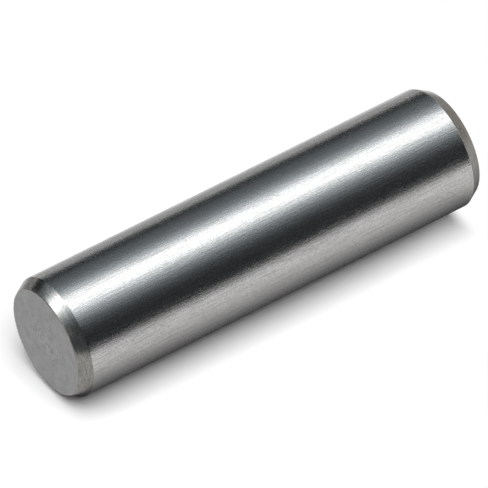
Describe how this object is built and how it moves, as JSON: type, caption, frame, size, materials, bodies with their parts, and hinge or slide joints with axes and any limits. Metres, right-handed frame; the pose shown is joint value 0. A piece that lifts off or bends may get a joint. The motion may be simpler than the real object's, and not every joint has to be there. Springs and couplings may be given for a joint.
{
  "type": "dowel pin",
  "caption": "Plain ground steel dowel pin: a straight round shank with a short lead chamfer on each flat end.",
  "frame": {"origin": "centre of the lower end face, on the pin's axis", "axes": "+Z along the pin's axis, from the lower end face to the upper one; X and Y are any two square directions across it"},
  "size_m": [0.008, 0.008, 0.03],
  "materials": {
    "ground_steel": "ground shank, faced ends"
  },
  "bodies": {
    "root": {"dowel_pin": "ground_steel"}
  },
  "joints": []
}
